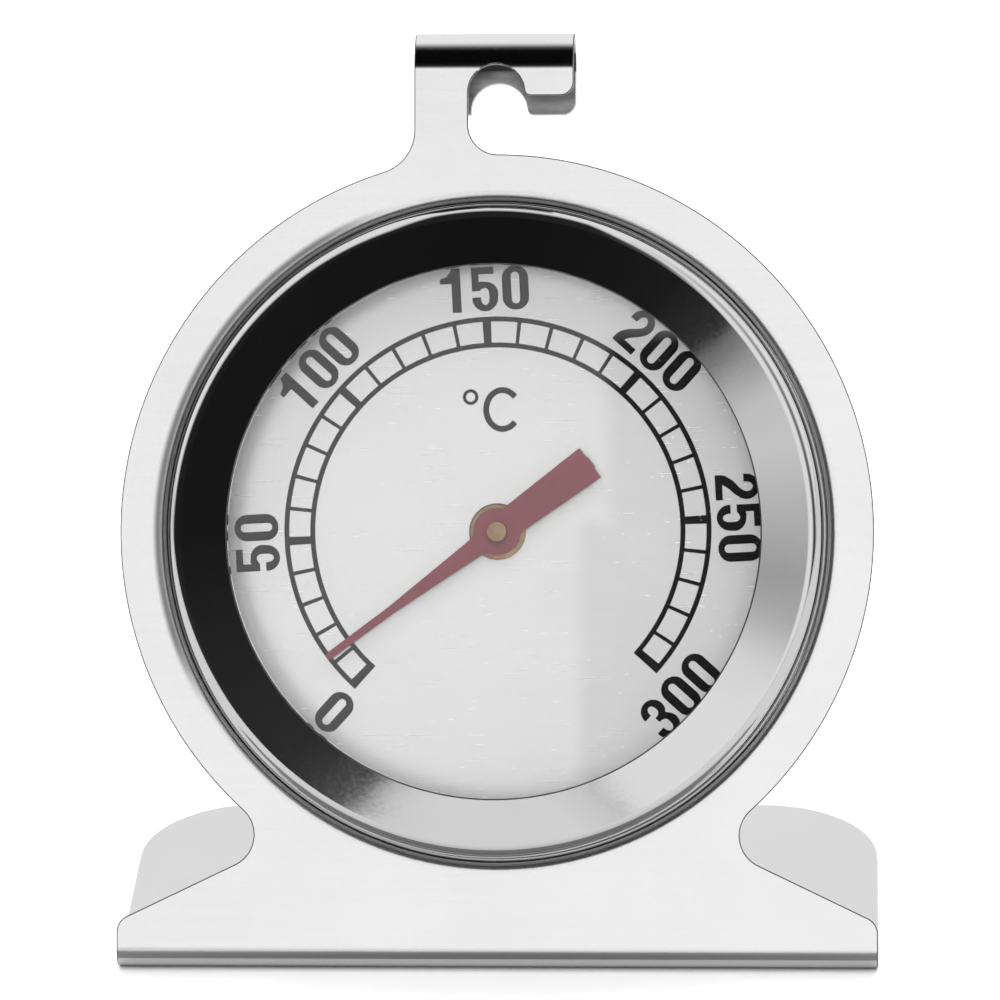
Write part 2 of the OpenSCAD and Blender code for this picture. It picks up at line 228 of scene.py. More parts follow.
# Places in the stand's finish, in metres in the head frame
HOOK_SHADE_LOW = 0.0315        # where the painted shade over the hook begins
HOOK_SHADE_RISE = 0.0015
FOLD_LOW = 0.037         # the painted dark reflection along the hook's fold
FOLD_RISE = 0.0003
FOLD_HIGH = 0.0385
FOLD_FALL = 0.00025
FOLD_REFLECTION_TONE = 0.12        # tone of that painted reflection
COLLAR_OUT = 0.0268      # where the rolled collar meets the plate
COLLAR_FADE = 0.0007
STRETCH_ROUGH = 0.13     # roughness that the rolled collar adds
SHADE_CRESCENT_RISE = 0.0003        # the painted dark reflection beside the collar, on one side
SHADE_CRESCENT_OUT = 0.0272
SHADE_CRESCENT_FALL = 0.0005
SHADE_CRESCENT_U = -0.94            # its direction from the dial's axis
SHADE_CRESCENT_V = 0.342
SHADE_CRESCENT_TONE = 0.3


def satin_steel(name, tint, rough, grain, wear=0.03, hook_shade_tone=1.0):
    """Rolled stainless sheet: fine grain, rolling lines, cloudy variation, dull collar; painted shade over
    the hook, a painted dark reflection across the hook's fold and a painted dark reflection beside the
    collar.
    """
    material, shader, surface = new_material(name)
    place = shader.head_coordinates()
    cloud = shader.noise(place, 90, detail=3)
    speckle = shader.noise(place, 5200, detail=2)
    lines = shader.noise(shader.head_coordinates((60, 3800, 3800)), 1, detail=3)
    surface["Metallic"].default_value = 1
    shade = shader.span(cloud, 0.3, 0.7, 1 - wear, 1)
    base = shader.blend(1.0, tint + (1,), shade, mode="MULTIPLY")
    u, v, _ = shader.head_parts()
    streaks = shader.noise(shader.head_coordinates((350, 1500, 350)), 1, detail=3)
    # Painted shade over the hook: the sheet is darkened there by the given tone, with streaks, standing for
    # the shade inside the fold.
    hook = shader.step(v, HOOK_SHADE_LOW, HOOK_SHADE_LOW + HOOK_SHADE_RISE)
    hook_shade_mask = shader.math("MULTIPLY", hook, shader.span(streaks, 0.3, 0.7, 0.6, 1))
    hook_shaded = shader.blend(1.0, base, (hook_shade_tone, hook_shade_tone, hook_shade_tone, 1), mode="MULTIPLY")
    with_hook_shade = shader.blend(hook_shade_mask, base, hook_shaded)
    mixed = shader.math("ADD", shader.math("MULTIPLY", speckle, 0.6), shader.math("MULTIPLY", lines, 0.4))
    squares = shader.math("ADD", shader.math("MULTIPLY", u, u), shader.math("MULTIPLY", v, v))
    from_axis = shader.math("SQRT", squares)
    stretched = shader.step(from_axis, COLLAR_OUT, COLLAR_OUT + COLLAR_FADE, 1, 0)
    # Painted reflection: a dark band across the hook's fold, on both faces, standing for the dark studio that
    # the bend mirrors.
    above = shader.step(v, FOLD_LOW, FOLD_LOW + FOLD_RISE)
    under = shader.step(v, FOLD_HIGH, FOLD_HIGH + FOLD_FALL, 1, 0)
    fold_reflection_mask = shader.math("MULTIPLY", above, under)
    with_fold_reflection = shader.blend(1.0, with_hook_shade, shader.span(fold_reflection_mask, 0, 1, 1, FOLD_REFLECTION_TONE), mode="MULTIPLY")
    # Painted reflection: a dark crescent on the plate just outside the collar, on the upper left, standing
    # for the bezel's dark side mirrored in the plate.
    side = shader.math("ADD", shader.math("MULTIPLY", u, SHADE_CRESCENT_U), shader.math("MULTIPLY", v, SHADE_CRESCENT_V))
    facing = shader.step(shader.math("DIVIDE", side, from_axis), 0.6, 0.8)
    inner = shader.step(from_axis, COLLAR_OUT, COLLAR_OUT + SHADE_CRESCENT_RISE)
    outer = shader.step(from_axis, SHADE_CRESCENT_OUT, SHADE_CRESCENT_OUT + SHADE_CRESCENT_FALL, 1, 0)
    ring = shader.math("MULTIPLY", inner, outer)
    crescent_shade = shader.span(shader.math("MULTIPLY", facing, ring), 0, 1, 1, SHADE_CRESCENT_TONE)
    shader.set(surface["Base Color"], shader.blend(1.0, with_fold_reflection, crescent_shade, mode="MULTIPLY"))
    even = shader.span(mixed, 0.3, 0.7, rough * 0.86, rough * 1.14)
    duller = shader.math("MULTIPLY", stretched, STRETCH_ROUGH)
    shader.set(surface["Roughness"], shader.math("ADD", even, duller))
    shader.set(surface["Normal"], shader.bump(mixed, 1.0, grain))
    return material


def bright_steel(name, tint, rough, wave):
    """Polished spun stainless: nearly a mirror, with faint turning lines and slow waviness."""
    material, shader, surface = new_material(name)
    place = shader.head_coordinates()
    slow = shader.noise(place, 160, detail=1)
    fine = shader.noise(place, 3000, detail=2)
    surface["Metallic"].default_value = 1
    shade = shader.span(slow, 0.3, 0.7, 0.97, 1)
    shader.set(surface["Base Color"], shader.blend(1.0, tint + (1,), shade, mode="MULTIPLY"))
    shader.set(surface["Roughness"], shader.span(fine, 0.3, 0.7, rough * 0.8, rough * 1.2))
    waves = shader.bump(slow, 1.0, wave)
    shader.set(surface["Normal"], shader.bump(fine, 1.0, 0.0000006, waves))
    return material


def brushed_dial(name):
    """Aluminium dial with fine left-to-right brushing."""
    material, shader, surface = new_material(name)
    place = shader.head_coordinates()
    hair = shader.noise(shader.head_coordinates((300, 7000, 0)), 1, detail=2, roughness=0.5)
    streak = shader.noise(shader.head_coordinates((90, 2600, 0)), 1, detail=1)
    cloud = shader.noise(place, 120, detail=2)
    surface["Metallic"].default_value = 0.7
    mixed = shader.math("ADD", shader.math("MULTIPLY", hair, 0.6), shader.math("MULTIPLY", streak, 0.4))
    tone = shader.ramp(mixed, [(0.3, 0.935), (0.5, 0.97), (0.7, 0.99)])
    shader.set(surface["Base Color"], shader.blend(0.06, tone, cloud))
    shader.set(surface["Roughness"], shader.span(mixed, 0.3, 0.7, 0.23, 0.28))
    shader.set(surface["Normal"], shader.bump(mixed, 1.0, 0.0000001))
    return material


def lens_glass(name):
    """Clear flat glass with a trace of dust. Shadow rays pass it straight."""
    material, shader, surface = new_material(name)
    place = shader.head_coordinates()
    smear = shader.noise(place, 220, detail=3)
    dust = shader.noise(place, 2600, detail=1)
    surface["Base Color"].default_value = (0.99, 0.99, 0.99, 1)
    surface["Transmission Weight"].default_value = 1
    surface["IOR"].default_value = 1.5
    haze = shader.math("MULTIPLY", shader.step(dust, 0.7, 0.8), shader.step(smear, 0.5, 0.8))
    shader.set(surface["Roughness"], shader.span(haze, 0, 1, 0.0, 0.12))
    principled = surface["Roughness"].node
    output = next(node for node in shader.nodes if node.type == "OUTPUT_MATERIAL")
    clear = shader.add("ShaderNodeBsdfTransparent", Color=(0.97, 0.97, 0.97, 1))
    is_shadow = shader.add("ShaderNodeLightPath", outputs="Is Shadow Ray")
    mixed = shader.add("ShaderNodeMixShader", Fac=is_shadow, i1=principled.outputs[0], i2=clear)
    shader.links.new(mixed, output.inputs["Surface"])
    return material


def turned_brass(name):
    """Brass with turning marks and small dents."""
    material, shader, surface = new_material(name)
    place = shader.head_coordinates()
    dents = shader.noise(place, 1500, detail=2)
    tarnish = shader.noise(place, 500, detail=3)
    surface["Metallic"].default_value = 1
    tone = shader.ramp(tarnish, [(0.35, (0.36, 0.19, 0.12, 1)), (0.65, (0.6, 0.42, 0.24, 1))])
    shader.set(surface["Base Color"], tone)
    shader.set(surface["Roughness"], shader.span(tarnish, 0.3, 0.7, 0.26, 0.4))
    shader.set(surface["Normal"], shader.bump(dents, 1.0, 0.00005))
    return material


def pointer_enamel(name):
    """Dark red enamel, slightly grainy."""
    material, shader, surface = new_material(name)
    place = shader.head_coordinates()
    grain = shader.noise(place, 3600, detail=2)
    cloud = shader.noise(place, 400, detail=2)
    mixed = shader.math("ADD", shader.math("MULTIPLY", grain, 0.6), shader.math("MULTIPLY", cloud, 0.4))
    tone = shader.ramp(mixed, [(0.35, (0.19, 0.034, 0.048, 1)), (0.65, (0.25, 0.05, 0.068, 1))])
    shader.set(surface["Base Color"], tone)
    shader.set(surface["Roughness"], shader.span(mixed, 0.3, 0.7, 0.36, 0.5))
    shader.set(surface["Normal"], shader.bump(grain, 0.6, 0.00001))
    return material


def printing_ink(name):
    """Black screen-printing ink with a slightly uneven film."""
    material, shader, surface = new_material(name)
    place = shader.head_coordinates()
    film = shader.noise(place, 2400, detail=2)
    tone = shader.ramp(film, [(0.3, (0.004, 0.004, 0.0045, 1)), (0.7, (0.011, 0.011, 0.012, 1))])
    shader.set(surface["Base Color"], tone)
    shader.set(surface["Roughness"], shader.span(film, 0.3, 0.7, 0.5, 0.65))
    shader.set(surface["Normal"], shader.bump(film, 0.4, 0.000006))
    return material


def plated_steel(name, dark, light, rough):
    """Plain stamped or drawn metal with a mottled surface."""
    material, shader, surface = new_material(name)
    place = shader.head_coordinates()
    mottle = shader.noise(place, 700, detail=4, roughness=0.6)
    fine = shader.noise(place, 4000, detail=2)
    surface["Metallic"].default_value = 1
    shader.set(surface["Base Color"], shader.ramp(mottle, [(0.35, dark + (1,)), (0.65, light + (1,))]))
    shader.set(surface["Roughness"], shader.span(fine, 0.3, 0.7, rough * 0.85, rough * 1.15))
    shader.set(surface["Normal"], shader.bump(fine, 0.6, 0.000004))
    return material


def fibre_gasket(name, dark=0.012, light=0.05):
    """Pressed fibre, for the gasket and for the grey card."""
    material, shader, surface = new_material(name)
    place = shader.head_coordinates()
    fibre = shader.noise(place, 2600, detail=4, roughness=0.7)
    shader.set(surface["Base Color"], shader.ramp(fibre, [(0.3, dark), (0.7, light)]))
    shader.set(surface["Roughness"], shader.span(fibre, 0.3, 0.7, 0.7, 0.9))
    shader.set(surface["Normal"], shader.bump(fibre, 0.8, 0.00003))
    return material


def bimetal_strip(name):
    """Rolled strip with a copper tint in streaks."""
    material, shader, surface = new_material(name)
    place = shader.head_coordinates((300, 300, 2500))
    streak = shader.noise(place, 1, detail=3)
    surface["Metallic"].default_value = 1
    tone = shader.ramp(streak, [(0.35, (0.42, 0.3, 0.22, 1)), (0.65, (0.6, 0.5, 0.42, 1))])
    shader.set(surface["Base Color"], tone)
    shader.set(surface["Roughness"], shader.span(streak, 0.3, 0.7, 0.3, 0.42))
    shader.set(surface["Normal"], shader.bump(streak, 0.5, 0.000006))
    return material


def floor_paper(name):
    """Matt white studio paper, which reflections see grey: painted shade of the floor near the foot."""
    material, shader, surface = new_material(name)
    place = shader.add("ShaderNodeTexCoord", outputs="Object")
    pulp = shader.noise(place, 300, detail=3)
    paper = shader.ramp(pulp, [(0.3, 0.9), (0.7, 0.92)])
    # Painted shade: reflections see the paper at 0.45 grey, standing for the floor's shade near the foot.
    mirrored = shader.add("ShaderNodeLightPath", outputs="Is Glossy Ray")
    shader.set(surface["Base Color"], shader.blend(mirrored, paper, (0.45, 0.45, 0.45, 1)))
    surface["Roughness"].default_value = 1
    surface["Specular IOR Level"].default_value = 0
    return material


FINISHES = {
    "stand_steel": satin_steel("stand_steel_finish", (0.86, 0.86, 0.86), 0.19, 0.0000012),
    "bezel_steel": bright_steel("bezel_steel_finish", (0.76, 0.76, 0.76), 0.07, 0.00002),
    "cover_steel": bright_steel("cover_steel_finish", (0.5, 0.5, 0.5), 0.2, 0.00002),
    "gasket": fibre_gasket("gasket_finish"),
    "glass": lens_glass("glass_finish"),
    "spacer": plated_steel("spacer_finish", (0.6, 0.6, 0.61), (0.75, 0.75, 0.76), 0.4),
    "dial": brushed_dial("dial_finish"),
    "movement_steel": plated_steel("movement_finish", (0.45, 0.45, 0.47), (0.64, 0.64, 0.65), 0.35),
    "spring_steel": plated_steel("spring_finish", (0.2, 0.2, 0.22), (0.4, 0.4, 0.42), 0.3),
    "brass": turned_brass("brass_finish"),
    "pointer_paint": pointer_enamel("pointer_finish"),
    "bimetal": bimetal_strip("bimetal_finish"),
    # The grey card seen only in reflections: painted shade of the floor ahead of the foot.
    "card": fibre_gasket("card_finish", 0.12, 0.17),
}
# The sheet's raw edge, darkened beyond bare metal as painted shade: a dark line along the bezel's lip and the
# stand's front edges.
CUT_EDGE_AND_SHADE = plated_steel("cut_edge_and_shade_finish", (0.1, 0.1, 0.1), (0.2, 0.2, 0.2), 0.4)


def dress_frame():
    """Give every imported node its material, by its slot in the record."""
    for subpart in frame["record"]["subparts"]:
        node = frame["nodes"][subpart["node"]]
        for slot in node.material_slots:
            slot.material = FINISHES[subpart["material_slot"]]


# ---- Printed dial: outlines in millimetres ----

PRINT_V = 0.11           # the print sits this far above the spindle
INK_LIFT = 0.015
INK_SINK = 0.01
ARC_STEP = radians(7)


def arc(cx, cy, rx, ry, start, end, step=ARC_STEP):
    """Points of an elliptical arc from start to end, in degrees."""
    turn = radians(end - start)
    count = max(2, int(abs(turn) / step) + 1)
    angles = [radians(start) + turn * i / count for i in range(count + 1)]
    return [(cx + rx * cos(a), cy + ry * sin(a)) for a in angles]


CELL = 2.45      # advance of one digit
TALL = 3.55      # height of a digit
MID = 1.225      # middle of a digit


def digit_zero():
    outer = arc(MID, TALL - 1.0, 1.065, 1.0, 0, 180) + arc(MID, 1.0, 1.065, 1.0, 180, 360)
    inner = arc(MID, TALL - 0.5 - 0.335, 0.335, 0.335, 0, 180) + arc(MID, 0.5 + 0.335, 0.335, 0.335, 180, 360)
    return [outer, inner]


def digit_one():
    flag = [(1.02, TALL), (0.93, TALL - 0.25), (0.6, TALL - 0.65), (0.08, TALL - 0.81)]
    return [[(1.72, 0), (1.72, TALL)] + flag + [(0.08, TALL - 1.22), (0.99, TALL - 1.22), (0.99, 0)]]


def digit_two():
    foot = [(0.2, 0), (2.22, 0), (2.22, 0.57), (0.99, 0.57), (1.3, 1.05), (1.75, 1.5), (2.1, 2.0)]
    top = arc(1.2, 2.5, 1.02, 1.05, 0, 180)
    terminal = [(0.18, 2.29), (0.8, 2.29)]
    inside = arc(1.2, 2.5, 0.38, 0.52, 180, 0)
    back = [(1.5, 2.25), (1.32, 2.0), (0.68, 1.44), (0.28, 0.83), (0.2, 0.45)]
    return [foot + [(2.2, 2.3)] + top + terminal + inside + back]


def digit_three():
    upper = arc(1.2, 2.55, 1.0, 1.0, -28, 180)
    lower = arc(1.2, 1.0, 1.04, 1.0, -180, 28)
    gap = [(0.86, 1.12)]
    inner_low = arc(1.2, 0.97, 0.36, 0.47, 180, 360) + arc(1.12, 1.2, 0.44, 0.42, 0, 80)
    middle = [(0.95, 1.64), (0.95, 2.1)]
    inner_high = arc(1.12, 2.45, 0.42, 0.35, -80, 0) + arc(1.2, 2.6, 0.34, 0.46, 0, 180)
    start = [(0.2, 2.5), (0.86, 2.5)]
    outline = lower + [(1.86, 1.85)] + upper + start
    outline += inner_high[::-1] + middle[::-1] + inner_low[::-1] + gap + [(0.16, 1.12)]
    return [outline]


def digit_five():
    bowl = arc(1.2, 1.4, 1.075, 0.98, 95, 0)
    base = arc(1.2, 1.05, 1.04, 1.05, 0, -180)
    outline = [(1.97, TALL), (1.97, TALL - 0.56), (0.75, TALL - 0.56)]
    outline += [(0.75, TALL - 1.22), (0.95, TALL - 1.13)]
    outline += bowl + base + [(0.17, 1.14), (0.87, 1.14)]
    outline += arc(1.21, 1.02, 0.335, 0.52, 180, 360) + arc(1.2, 1.38, 0.345, 0.5, 0, 100)
    outline += [(0.88, 1.76), (0.8, 1.64), (0.17, 1.64), (0.17, TALL)]
    return [outline]


DIGITS = {"0": digit_zero, "1": digit_one, "2": digit_two, "3": digit_three, "5": digit_five}


def degree_letter():
    """The C of the unit, with its opening to the right."""
    return [arc(0, 0, 1.55, 1.8, 40, 320) + arc(0, 0, 1.07, 1.32, 320, 40)]


def small_ring():
    return [arc(0, 0, 0.63, 0.63, 0, 360)[:-1], arc(0, 0, 0.37, 0.37, 0, 360)[:-1]]


def placed(loops, centre, along, middle=(0, 0)):
    """Turn loops to lie along a direction, with their middle at centre."""
    c, s = cos(along), sin(along)
    out = []
    for loop in loops:
        moved = [(x - middle[0], y - middle[1]) for x, y in loop]
        out.append([(centre[0] + x * c - y * s, centre[1] + x * s + y * c) for x, y in moved])
    return out


def label(text, radius, angle, along):
    """A straight word whose middle is at a radius and angle on the dial."""
    centre = (radius * cos(radians(angle)), radius * sin(radians(angle)))
    middle = (CELL * len(text) / 2, TALL / 2)
    loops = []
    for place, letter in enumerate(text):
        glyph = [[(x + CELL * place, y) for x, y in loop] for loop in DIGITS[letter]()]
        loops += placed(glyph, centre, radians(along), middle)
    return loops


def finish_mesh(name, mesh, finish):
    """Link a mesh that is part of the print, riding with the housing."""
    piece = bpy.data.objects.new(name, mesh)
    bpy.context.scene.collection.objects.link(piece)
    mesh.materials.clear()
    mesh.materials.append(finish)
    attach(piece, "housing")
    return piece


def ink_piece(name, loops, finish, surface_w):
    """A thin solid of ink from closed outlines, holes included, on the dial's face."""
    curve = bpy.data.curves.new(name + "_outline", "CURVE")
    curve.dimensions = "2D"
    curve.fill_mode = "BOTH"
    for loop in loops:
        spline = curve.splines.new("POLY")
        spline.points.add(len(loop) - 1)
        for point, (x, y) in zip(spline.points, loop):
            point.co = (x, y, 0, 1)
        spline.use_cyclic_u = True
    curve.extrude = (INK_LIFT + INK_SINK) / 2
    shape = bpy.data.objects.new(name + "_outline", curve)
    bpy.context.scene.collection.objects.link(shape)
    mesh = bpy.data.meshes.new_from_object(shape)
    bpy.data.objects.remove(shape)
    bpy.data.curves.remove(curve)
    mesh.name = name
    build = bmesh.new()
    build.from_mesh(mesh)
    bmesh.ops.remove_doubles(build, verts=build.verts, dist=0.0005)
    middle_w = surface_w + (INK_LIFT - INK_SINK) / 2
    for vert in build.verts:
        vert.co = head_point(vert.co.x, vert.co.y + PRINT_V, middle_w + vert.co.z)
    bmesh.ops.recalc_face_normals(build, faces=build.faces)
    build.to_mesh(mesh)
    build.free()
    return finish_mesh(name, mesh, finish)


ZERO_ANGLE = 228.0       # where 0 degrees C lies on the dial
PER_DEGREE = 0.9         # dial degrees to one degree C
TOP_READING = 300
TICK_EVERY = 10
LONG_EVERY = 50
RINGS = (14.69, 15.09, 16.78, 17.18)
THIN_TICK = 0.3
THICK_TICK = 0.65
END_BAR = 0.67
GAP_CELLS = 6            # facets of the arcs between two ticks


def reading_angle(reading):
    return ZERO_ANGLE - PER_DEGREE * reading


def scale_piece(finish, surface_w):
    """The two scale arcs and the ticks between them, as one closed solid of ink."""
    columns = []
    middle_r = (RINGS[1] + RINGS[2]) / 2
    for reading in range(0, TOP_READING + 1, TICK_EVERY):
        wide = THIN_TICK
        if reading % LONG_EVERY == 0:
            wide = THICK_TICK
        if reading in (0, TOP_READING):
            wide = END_BAR
        half = degrees(wide / 2 / middle_r)
        start = reading_angle(reading) + half
        end = reading_angle(reading) - half
        if reading == 0:
            start, end = ZERO_ANGLE, ZERO_ANGLE - 2 * half
        if reading == TOP_READING:
            start, end = reading_angle(reading) + 2 * half, reading_angle(reading)
        if columns:
            gap_start = columns[-1][1]
            for i in range(GAP_CELLS):
                a = gap_start + (start - gap_start) * i / GAP_CELLS
                b = gap_start + (start - gap_start) * (i + 1) / GAP_CELLS
                columns.append((a, b, False))
        columns.append((start, end, True))
    build = bmesh.new()
    edges = [columns[0][0]] + [column[1] for column in columns]
    grid = []
    for a in edges:
        t = radians(a)
        grid.append([build.verts.new((r * cos(t), r * sin(t), 0)) for r in RINGS])
    for i, (_, _, solid) in enumerate(columns):
        for band in range(3):
            if band != 1 or solid:
                corners = (grid[i][band], grid[i][band + 1], grid[i + 1][band + 1], grid[i + 1][band])
                build.faces.new(corners)
    loose = [vert for vert in build.verts if not vert.link_faces]
    bmesh.ops.delete(build, geom=loose, context="VERTS")
    result = bmesh.ops.extrude_face_region(build, geom=build.faces[:])
    lifted = {item for item in result["geom"] if isinstance(item, bmesh.types.BMVert)}
    for vert in build.verts:
        w = surface_w + (INK_LIFT if vert in lifted else -INK_SINK)
        vert.co = head_point(vert.co.x, vert.co.y + PRINT_V, w)
    bmesh.ops.recalc_face_normals(build, faces=build.faces)
    mesh = bpy.data.meshes.new("dial_scale")
    build.to_mesh(mesh)
    build.free()
    return finish_mesh("dial_scale", mesh, finish)


LABEL_R = 19.4
ZERO_LABEL_R = 19.66
ZERO_LABEL_TURN = -42    # degrees
TOP_LABEL_R = 19.83
UNIT_AT = (0.39, 9.7)
DEGREE_AT = (-2.17, 10.7)


def print_dial():
    """All the printing on the dial."""
    ink = printing_ink("ink_finish")
    surface_w = front_of("dial_plate")
    scale_piece(ink, surface_w)
    for reading in range(LONG_EVERY, TOP_READING, LONG_EVERY):
        angle = reading_angle(reading)
        ink_piece(f"dial_label_{reading}", label(str(reading), LABEL_R, angle, angle - 90), ink, surface_w)
    ink_piece("dial_label_0", label("0", ZERO_LABEL_R, ZERO_ANGLE, ZERO_LABEL_TURN), ink, surface_w)
    end_angle = reading_angle(TOP_READING)
    top_label = label("300", TOP_LABEL_R, end_angle, end_angle + 90)
    ink_piece("dial_label_300", top_label, ink, surface_w)
    ink_piece("dial_unit", placed(degree_letter(), UNIT_AT, 0), ink, surface_w)
    ink_piece("dial_degree_sign", placed(small_ring(), DEGREE_AT, 0), ink, surface_w)


# ---- Bent and turned sheet: rounded edges, with the exact normal at every point ----

EDGE_STEPS = 3           # facets in a quarter of a rounded edge
TURN_STEPS = 256         # facets around a turned piece


def round_edge(edge_r, thick):
    """The rounded rim of a sheet: (distance in from the cut edge, depth, lean of the normal)."""
    rim = []
    for i in range(EDGE_STEPS + 1):
        a = pi / 2 * i / EDGE_STEPS
        rim.append((edge_r * (1 - sin(a)), edge_r * (1 - cos(a)), a))
    return rim + [(inset, thick - depth, pi - a) for inset, depth, a in reversed(rim)]


def outward(loop):
    """Each corner's outward direction and the factor that keeps an inset parallel to both sides."""
    out = []
    for i, (x, y) in enumerate(loop):
        before, after = loop[i - 1], loop[(i + 1) % len(loop)]
        first = Vector((y - before[1], before[0] - x)).normalized()
        second = Vector((after[1] - y, x - after[0])).normalized()
        middle = (first + second).normalized()
        out.append((middle, 1 / max(middle.dot(first), 0.5)))
    return out


def join_rings(build, lower, upper):
    """Quads between two closed rings of vertices."""
    for i in range(len(lower)):
        k = (i + 1) % len(lower)
        build.faces.new((lower[i], lower[k], upper[k], upper[i]))


def ring_edges(build, ring):
    return [build.edges.get((ring[i], ring[(i + 1) % len(ring)])) for i in range(len(ring))]


def smooth_piece(name, build, normals, node, finish_slot):
    """Write a mesh with its own normals, in the head frame, standing for a CAD node."""
    mesh = bpy.data.meshes.new(name)
    build.verts.index_update()
    for face in build.faces:
        face.smooth = True
    order = [normals[vert] for vert in build.verts]
    build.to_mesh(mesh)
    build.free()
    mesh.normals_split_custom_set_from_vertices(order)
    piece = bpy.data.objects.new(name, mesh)
    bpy.context.scene.collection.objects.link(piece)
    mesh.materials.append(FINISHES[finish_slot])
    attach(piece, "housing")
    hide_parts(node)
    return piece


def corner(cx, cy, r, start, end, steps=None, hollow=False):
    """Section points (radius, w, normal) along an arc, in degrees. A hollow arc faces its centre."""
    steps = steps or EDGE_STEPS
    side = -1 if hollow else 1
    out = []
    for i in range(steps + 1):
        a = radians(start + (end - start) * i / steps)
        out.append((cx + r * cos(a), cy + r * sin(a), side * cos(a), side * sin(a)))
    return out


def head_direction(u, v, w):
    return (U_AXIS * u + V_AXIS * v + W_AXIS * w).normalized()


def turned_piece(name, section, node, finish_slot, dark_edge_span=(0, 0)):
    """A closed section turned about the dial's axis. Rings in the given span take the raw-edge finish: the
    sheet's raw edge, darkened beyond bare metal as painted shade.
    """
    build = bmesh.new()
    normals = {}
    rings = []
    for r, w, nr, nw in section:
        ring = []
        for i in range(TURN_STEPS):
            c, s = cos(2 * pi * i / TURN_STEPS), sin(2 * pi * i / TURN_STEPS)
            vert = build.verts.new(head_point(r * c, r * s, w))
            normals[vert] = head_direction(nr * c, nr * s, nw)
            ring.append(vert)
        rings.append(ring)
    for i in range(len(rings)):
        first = len(build.faces)
        join_rings(build, rings[i - 1], rings[i])
        if dark_edge_span[0] < i <= dark_edge_span[1]:
            build.faces.ensure_lookup_table()
            for face in build.faces[first:]:
                face.material_index = 1
    piece = smooth_piece(name, build, normals, node, finish_slot)
    piece.data.materials.append(CUT_EDGE_AND_SHADE)
    return piece


def node_reach(node):
    """Largest radius about the dial's axis, and the back and front ends of a node, in mm."""
    points = [vert.co - HEAD for vert in frame["nodes"][node].data.vertices]
    along = [p.dot(W_AXIS) for p in points]
    radii = [(p - W_AXIS * w).length for p, w in zip(points, along)]
    return max(radii) / MM, min(along) / MM, max(along) / MM


BEZEL_T = 0.5
BEZEL_SLOPE = 12         # degrees, rising towards the lip
SHOULDER_R = 1.36
LIP_R = 0.22
LIP_FROM = 120           # the lip's rounding starts at this angle, after a crease
OPENING_R = 21.2
CREASE = 0.004
SKIRT_DROP = 1.0         # how far the lip's inner edge hangs down
SHELL_EDGE_R = 0.1
HOLLOW_R = 0.15          # the inner corner between lip and face
SHOULDER_STEPS = 16
LIP_STEPS = 6
HOLLOW_STEPS = 12


def add_bezel():
    """The bezel shell: side wall, rounded shoulder, sloping face and thin lip."""
    out_r, back_w, front_w = node_reach("bezel_shell")
    face = 90 - BEZEL_SLOPE
    s, c = sin(radians(BEZEL_SLOPE)), cos(radians(BEZEL_SLOPE))
    shoulder_r = out_r - SHOULDER_R
    lip_r = OPENING_R + LIP_R
    lip_turn = radians(LIP_FROM)
    crest_r = lip_r + LIP_R * cos(lip_turn)
    lip_w = front_w - LIP_R * sin(lip_turn)
    shoulder_w = front_w - ((shoulder_r - crest_r) * s + SHOULDER_R) / c
    edge = SHELL_EDGE_R
    hollow = HOLLOW_R
    skirt_w = lip_w - SKIRT_DROP
    hollow_r = OPENING_R + BEZEL_T + hollow
    hollow_w = front_w + ((crest_r - hollow_r) * s - BEZEL_T - hollow) / c
    section = corner(out_r - edge, back_w + edge, edge, -90, 0)
    section += corner(shoulder_r, shoulder_w, SHOULDER_R, 0, face, SHOULDER_STEPS)
    section += [(crest_r + CREASE * c, front_w - CREASE * s, s, c)]
    lip_start = len(section) - 1
    section += corner(lip_r, lip_w, LIP_R, LIP_FROM, 180, LIP_STEPS)
    lip_end = len(section) - 1
    section += corner(OPENING_R + edge, skirt_w + edge, edge, 180, 270)
    section += corner(OPENING_R + BEZEL_T - edge, skirt_w + edge, edge, 270, 360)
    section += corner(hollow_r, hollow_w, hollow, 180, face, hollow=True)
    inner_r = SHOULDER_R - BEZEL_T
    section += corner(shoulder_r, shoulder_w, inner_r, face, 0, HOLLOW_STEPS, hollow=True)
    section += corner(out_r - BEZEL_T + edge, back_w + edge, edge, 180, 270)
    # The lip's rounding takes the raw-edge finish: a painted shade line round the opening.
    bezel = turned_piece("bezel_turned", section, "bezel_shell", "bezel_steel", (lip_start, lip_end))
    bezel.visible_glossy = False


COVER_T = 0.4
COVER_CORNER_R = 1.2
VENT_COUNT = 6
VENT_RING_R = 17
VENT_R = 1.3
VENT_STEPS = 36
COVER_BEND_STEPS = 12
COVER_RIM_STEPS = 10
COVER_HOLLOW_STEPS = 8


